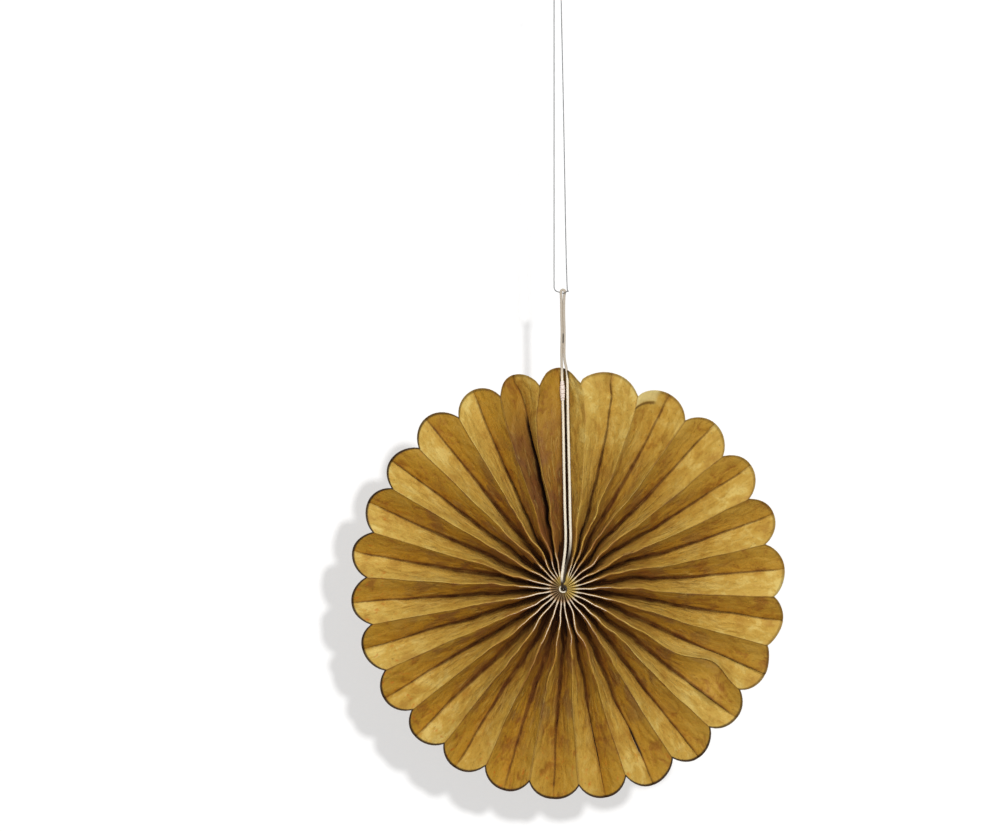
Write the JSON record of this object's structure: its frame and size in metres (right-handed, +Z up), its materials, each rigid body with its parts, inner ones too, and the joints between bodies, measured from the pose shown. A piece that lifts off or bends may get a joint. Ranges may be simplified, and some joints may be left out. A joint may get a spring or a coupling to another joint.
{
  "type": "paper fan medallion",
  "caption": "Round hanging medallion of one paper strip folded into radiating pleats with a scalloped rim, gathered at a small hub, on a doubled string and a thin clear thread.",
  "frame": {"origin": "centre of the hub, midway between the front ridges and the back folds of the pleats", "axes": "+Z up along the hanging string, +Y from the front to the back of the medallion, +X to the right seen from the front"},
  "size_m": [0.1988, 0.0168, 0.3812],
  "materials": {
    "paper": "soft handmade paper, mottled gold and brown, matte",
    "cotton": "twisted cotton string, cream",
    "clear_thread": "thin clear nylon thread, greyish"
  },
  "bodies": {
    "root": {"pleated_paper": "paper", "hub_tie": "cotton", "hanging_string": "cotton", "string_knot": "cotton", "hanging_thread": "clear_thread", "thread_knot": "clear_thread"}
  },
  "joints": []
}
